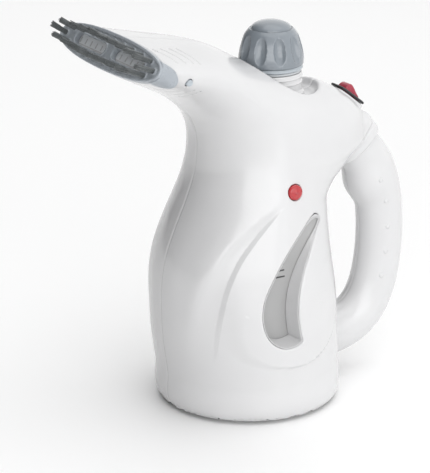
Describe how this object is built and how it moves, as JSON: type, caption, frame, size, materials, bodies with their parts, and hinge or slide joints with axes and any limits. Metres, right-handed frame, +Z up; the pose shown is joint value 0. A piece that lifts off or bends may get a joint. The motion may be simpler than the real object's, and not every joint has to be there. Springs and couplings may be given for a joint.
{
  "type": "garment steamer",
  "caption": "Handheld garment steamer with a loop handle, wide forward nozzle with a pull-off bristle head, screw filler cap and rocker switch.",
  "frame": {"origin": "centre of the round base on the surface the steamer stands on, which is also midway between the bristle tips and the back of the handle", "axes": "+Z up, -X towards the nozzle, +X towards the handle, +Y across to the side without the indicator lens; the XZ plane is the mirror plane"},
  "size_m": [0.2321, 0.1244, 0.2555],
  "materials": {
    "white_shell": "glossy injection-moulded white",
    "grey_plastic": "satin-gloss mid grey",
    "light_grey_plastic": "satin light grey",
    "bristle": "matt dark nylon filament",
    "black_plastic": "satin black",
    "red_plastic": "glossy red",
    "red_lens": "translucent red lens",
    "smoked_window": "translucent smoked grey",
    "clear_tank": "translucent frosted tank plastic",
    "rubber_foot": "matt grey rubber",
    "cast_aluminium": "cast aluminium",
    "steel": "zinc-plated steel",
    "silicone": "natural silicone rubber",
    "ceramic": "unglazed ceramic"
  },
  "bodies": {
    "root": {"base_cover": "white_shell", "base_screw_1": "steel", "base_screw_2": "steel", "base_screw_3": "steel", "body_shell_left": "white_shell", "body_shell_right": "white_shell", "cord_inlet": "black_plastic", "filler_neck": "white_shell", "foot_1": "rubber_foot", "foot_2": "rubber_foot", "foot_3": "rubber_foot", "foot_4": "rubber_foot", "heater_plate": "cast_aluminium", "heating_element": "steel", "indicator_lamp": "ceramic", "indicator_lens": "red_lens", "nozzle_stud_left": "light_grey_plastic", "nozzle_stud_right": "light_grey_plastic", "shell_screw_1": "steel", "shell_screw_2": "steel", "shell_screw_3": "steel", "shell_screw_4": "steel", "steam_chamber": "light_grey_plastic", "steam_plate": "light_grey_plastic", "steam_tube": "silicone", "switch_bezel": "black_plastic", "switch_body": "black_plastic", "tank_gasket": "silicone", "terminal_block": "black_plastic", "thermal_fuse": "ceramic", "thermostat": "ceramic", "tube_clamp_1": "steel", "tube_clamp_2": "steel", "water_tank": "clear_tank", "water_window_left": "smoked_window", "water_window_right": "smoked_window", "window_sleeve_left": "light_grey_plastic", "window_sleeve_right": "light_grey_plastic"},
    "cap_lift": {"cap_seal": "silicone"},
    "cap": {"cap_skirt": "light_grey_plastic", "cap_plug": "grey_plastic", "cap_grip": "grey_plastic", "relief_spring": "steel"},
    "relief": {"relief_poppet": "red_plastic"},
    "rocker": {"switch_rocker": "red_plastic"},
    "head": {"bristle_head_frame": "grey_plastic", "bristle_tufts": "bristle"}
  },
  "joints": [
    {"name": "cap_rise", "type": "slide", "parent": "root", "child": "cap_lift", "axis": [0, 0, 1], "range_m": [0, 0.012]},
    {"name": "cap_turn", "type": "hinge", "parent": "cap_lift", "child": "cap", "pos_m": [0.016, 0, 0.22], "axis": [0, 0, 1], "range_deg": [0, 1080]},
    {"name": "relief_lift", "type": "slide", "parent": "cap", "child": "relief", "axis": [0, 0, 1], "range_m": [0, 0.0015], "stiffness_N_per_m": 200, "springref_m": -0.003, "deforming": ["relief_spring"]},
    {"name": "switch_rock", "type": "hinge", "parent": "root", "child": "rocker", "pos_m": [0.07297, 0, 0.18872], "axis": [0, -1, 0], "range_deg": [0, 15]},
    {"name": "head_pull", "type": "slide", "parent": "root", "child": "head", "axis": [-0.8387, 0, 0.5446], "range_m": [0, 0.03]}
  ],
  "couplings": [
    {"joint": "cap_rise", "follows": "cap_turn", "m_per_rad": 0.00063662}
  ]
}
